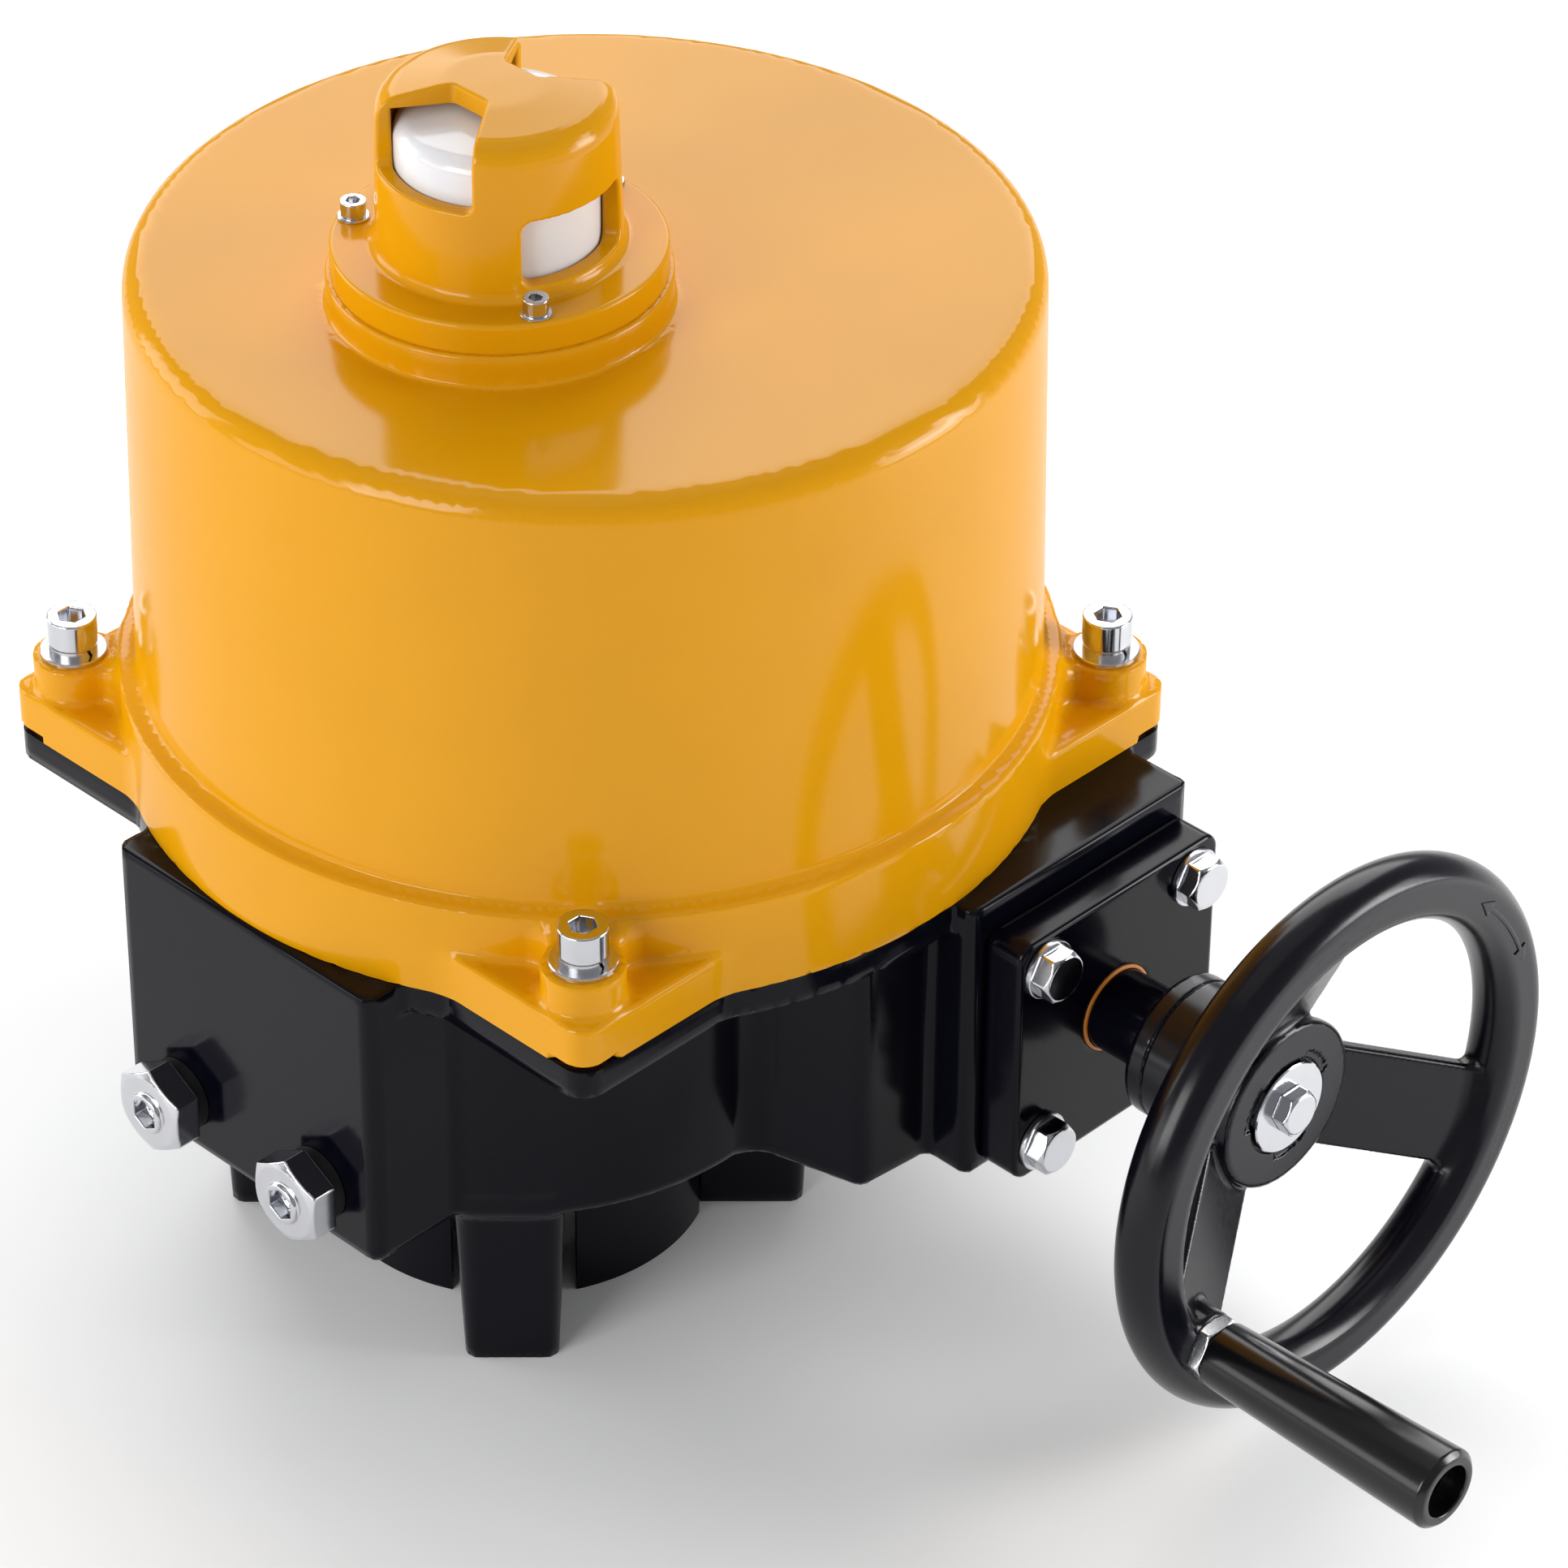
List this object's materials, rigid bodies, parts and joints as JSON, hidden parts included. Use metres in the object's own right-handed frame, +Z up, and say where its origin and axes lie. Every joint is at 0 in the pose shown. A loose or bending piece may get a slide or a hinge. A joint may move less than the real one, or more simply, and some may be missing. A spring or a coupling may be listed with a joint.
{
  "type": "quarter-turn valve actuator",
  "caption": "Electric quarter-turn valve actuator: domed cover, position indicator, cast gear housing on mounting posts, side handwheel with crank, cable entries.",
  "frame": {"origin": "output axis at the valve mounting face, where the four posts stand", "axes": "+Z up along the output axis towards the position indicator, +X towards the handwheel, -Y towards the cable entries"},
  "size_m": [0.5153, 0.327, 0.417],
  "materials": {
    "black_casting": "glossy black enamel over cast texture",
    "yellow_enamel": "glossy golden yellow enamel",
    "opal_lens": "opal white, glossy",
    "indicator_white": "white",
    "bright_steel": "bright plated",
    "washer_steel": "satin",
    "black_rubber": "matt",
    "orange_seal": "satin",
    "black_wheel": "glossy black enamel",
    "black_grip": "glossy",
    "spindle_steel": "turned",
    "hardened_steel": "ground",
    "bearing_steel": "ground",
    "gear_steel": "milled",
    "bronze": "machined",
    "plain_casting": "die cast",
    "motor_grey": "semi-gloss grey",
    "zinc_plate": "zinc plated",
    "plated_screws": "zinc plated",
    "red_plastic": "satin",
    "dark_plastic": "satin",
    "grey_plastic": "satin",
    "capacitor_can": "drawn",
    "heater_alloy": "extruded"
  },
  "bodies": {
    "housing": {"base_housing": "black_casting", "cover": "yellow_enamel", "cover_seal": "black_rubber", "cover_screws": "bright_steel", "cover_lock_washers": "washer_steel", "cover_flat_washers": "washer_steel", "indicator_cap": "yellow_enamel", "indicator_cap_seal": "black_rubber", "indicator_cap_screws": "bright_steel", "indicator_cap_washers": "washer_steel", "indicator_lens": "opal_lens", "indicator_bush": "bronze", "end_plate": "black_casting", "end_plate_gasket": "orange_seal", "end_plate_bolts": "bright_steel", "end_plate_washers": "washer_steel", "shaft_seal_ring": "orange_seal", "cable_plugs": "bright_steel", "plug_seals": "black_rubber", "inner_worm_bearing": "bearing_steel", "outer_worm_bearing": "bearing_steel", "lower_output_bush": "bronze", "upper_output_bush": "bronze", "output_seal": "black_rubber", "thrust_washer": "hardened_steel", "gear_cover": "plain_casting", "gear_cover_screws": "plated_screws", "gear_bracket": "zinc_plate", "gear_bracket_screws": "plated_screws", "idler_axle": "spindle_steel", "motor_can": "motor_grey", "motor_front_bell": "plain_casting", "motor_rear_bell": "plain_casting", "control_plate": "zinc_plate", "control_plate_posts": "spindle_steel", "limit_sensors": "dark_plastic", "terminal_block": "grey_plastic", "capacitor": "capacitor_can", "heater": "heater_alloy"},
    "output": {"worm_wheel": "bronze", "output_shaft": "hardened_steel", "drive_keys": "hardened_steel", "drive_bush": "hardened_steel", "drive_bush_ring": "hardened_steel", "indicator_shaft": "spindle_steel", "indicator_drum": "indicator_white", "limit_cams": "red_plastic"},
    "worm_line": {"worm_shaft": "spindle_steel", "worm": "hardened_steel", "worm_shaft_gear": "gear_steel", "shaft_sleeve": "black_casting", "handwheel": "black_wheel", "handwheel_bolt": "bright_steel", "handwheel_washer": "bright_steel", "crank_spindle": "spindle_steel", "crank_nut": "spindle_steel"},
    "grip": {"crank_grip": "black_grip"},
    "idler": {"idler_gear": "gear_steel"},
    "motor": {"motor_rotor": "hardened_steel", "motor_pinion": "gear_steel"}
  },
  "joints": [
    {"name": "output_turn", "type": "hinge", "parent": "housing", "child": "output", "pos_m": [0, 0, 0.1085], "axis": [0, 0, 1], "range_deg": [0, 90]},
    {"name": "handwheel_turn", "type": "hinge", "parent": "housing", "child": "worm_line", "pos_m": [0, 0.1, 0.1085], "axis": [1, 0, 0], "range_deg": [0, 3600]},
    {"name": "grip_spin", "type": "hinge", "parent": "worm_line", "child": "grip", "pos_m": [0.32, 0.03692, 0.06434], "axis": [1, 0, 0], "continuous": true},
    {"name": "idler_turn", "type": "hinge", "parent": "housing", "child": "idler", "pos_m": [-0.08, 0.1, 0.1785], "axis": [1, 0, 0], "range_deg": [-4275, 0]},
    {"name": "motor_turn", "type": "hinge", "parent": "housing", "child": "motor", "pos_m": [0, 0.1, 0.2365], "axis": [1, 0, 0], "range_deg": [0, 11221.88]}
  ],
  "couplings": [
    {"joint": "handwheel_turn", "follows": "output_turn", "ratio": 40},
    {"joint": "idler_turn", "follows": "output_turn", "ratio": -47.5},
    {"joint": "motor_turn", "follows": "output_turn", "ratio": 124.69}
  ]
}
